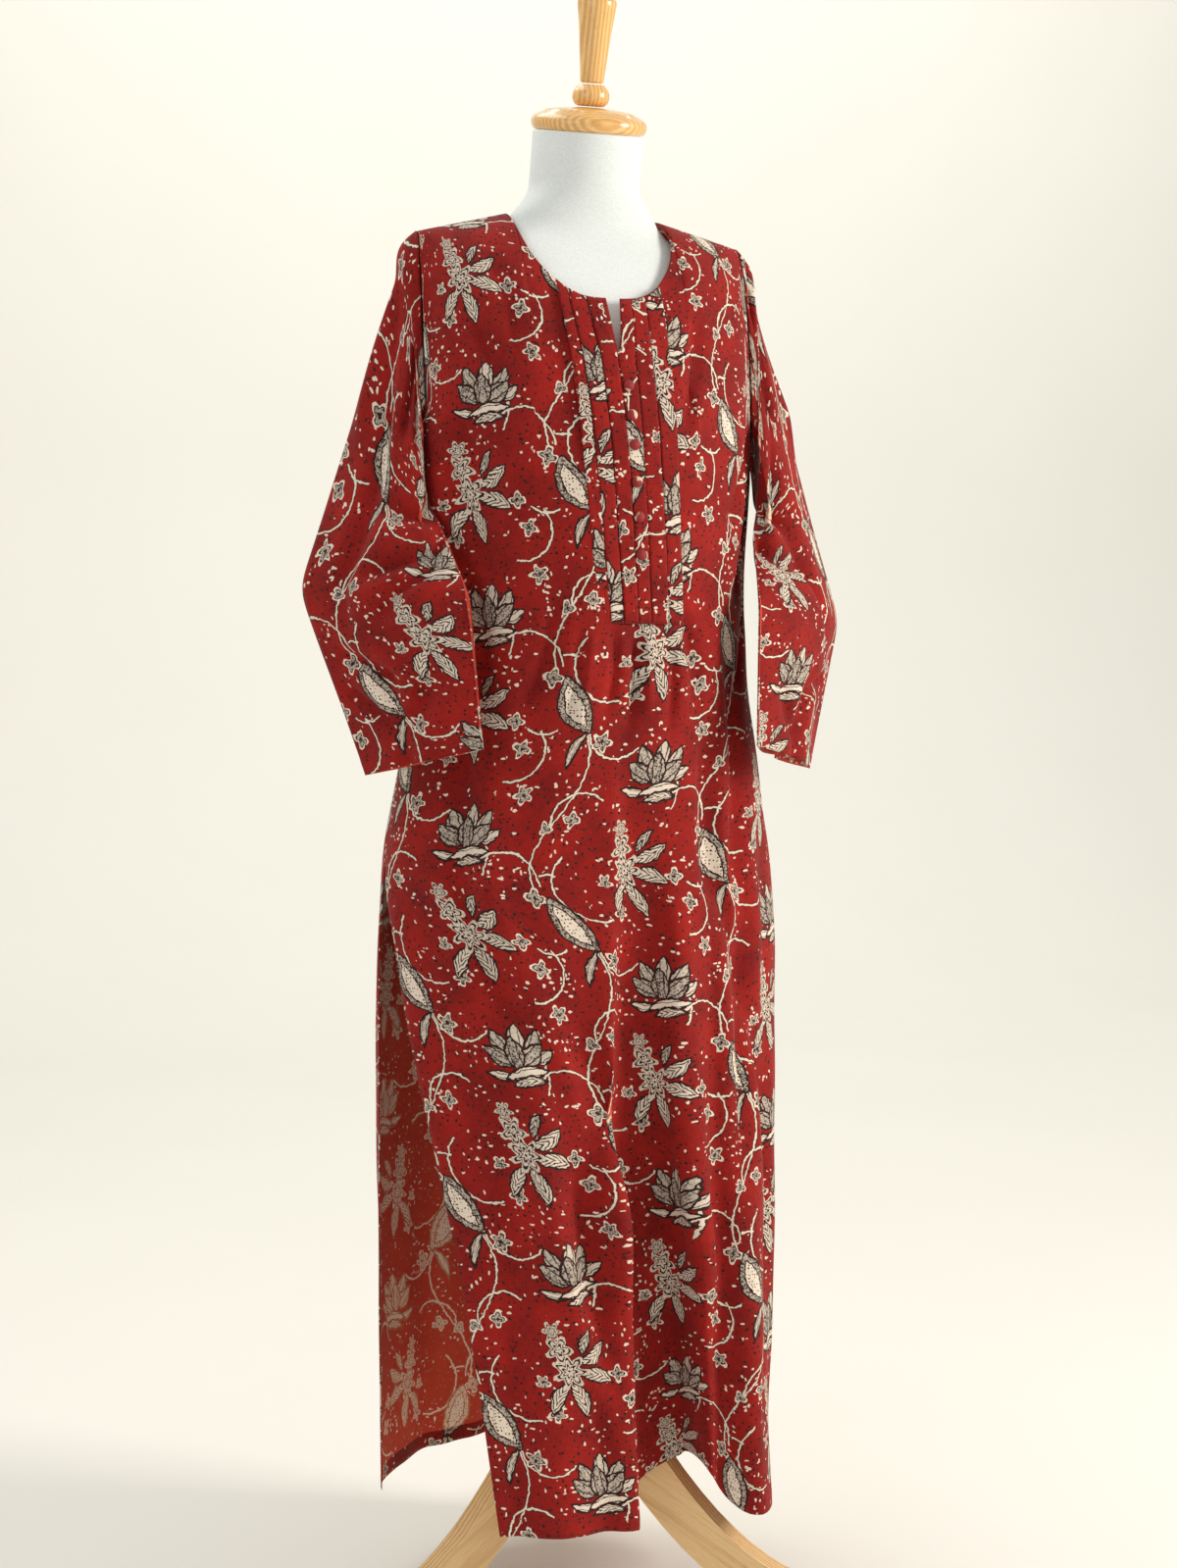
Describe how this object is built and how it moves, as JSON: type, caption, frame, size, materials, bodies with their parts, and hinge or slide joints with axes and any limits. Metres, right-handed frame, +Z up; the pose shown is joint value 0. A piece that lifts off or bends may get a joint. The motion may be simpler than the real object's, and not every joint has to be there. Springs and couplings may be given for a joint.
{
  "type": "kurta tunic on a dress form",
  "caption": "Long printed cotton kurta tunic with a tucked, buttoned placket and side slits, worn on a limbless dress form on a wooden tripod stand.",
  "frame": {"origin": "on the floor, at the middle of the whole object's box seen from above", "axes": "+Z up, the garment faces -Y, and +X is the wearer's left"},
  "size_m": [0.572, 0.4482, 1.6062],
  "materials": {
    "printed_cotton": "matt plain-woven cotton, block printed in madder red, cream, grey and black",
    "button_cotton": "matt cotton pulled over a domed button",
    "form_cover": "matt pale woven cover, stretched smooth",
    "lacquered_wood": "honey-coloured wood under clear lacquer",
    "pole_steel": "satin steel tube"
  },
  "bodies": {
    "root": {"front": "printed_cotton", "back": "printed_cotton", "sleeve_right": "printed_cotton", "sleeve_left": "printed_cotton", "tuck_right_outer": "printed_cotton", "tuck_right_inner": "printed_cotton", "placket_edge": "printed_cotton", "button_stand": "printed_cotton", "tuck_left_inner": "printed_cotton", "tuck_left_outer": "printed_cotton", "button_1": "button_cotton", "button_2": "button_cotton", "button_3": "button_cotton", "button_4": "button_cotton", "button_5": "button_cotton", "button_6": "button_cotton", "form_torso": "form_cover", "neck_cap": "lacquered_wood", "finial_collar": "lacquered_wood", "finial_handle": "lacquered_wood", "stand_hub": "lacquered_wood", "stand_leg_1": "lacquered_wood", "stand_leg_2": "lacquered_wood", "stand_leg_3": "lacquered_wood", "stand_pole": "pole_steel"}
  },
  "joints": []
}
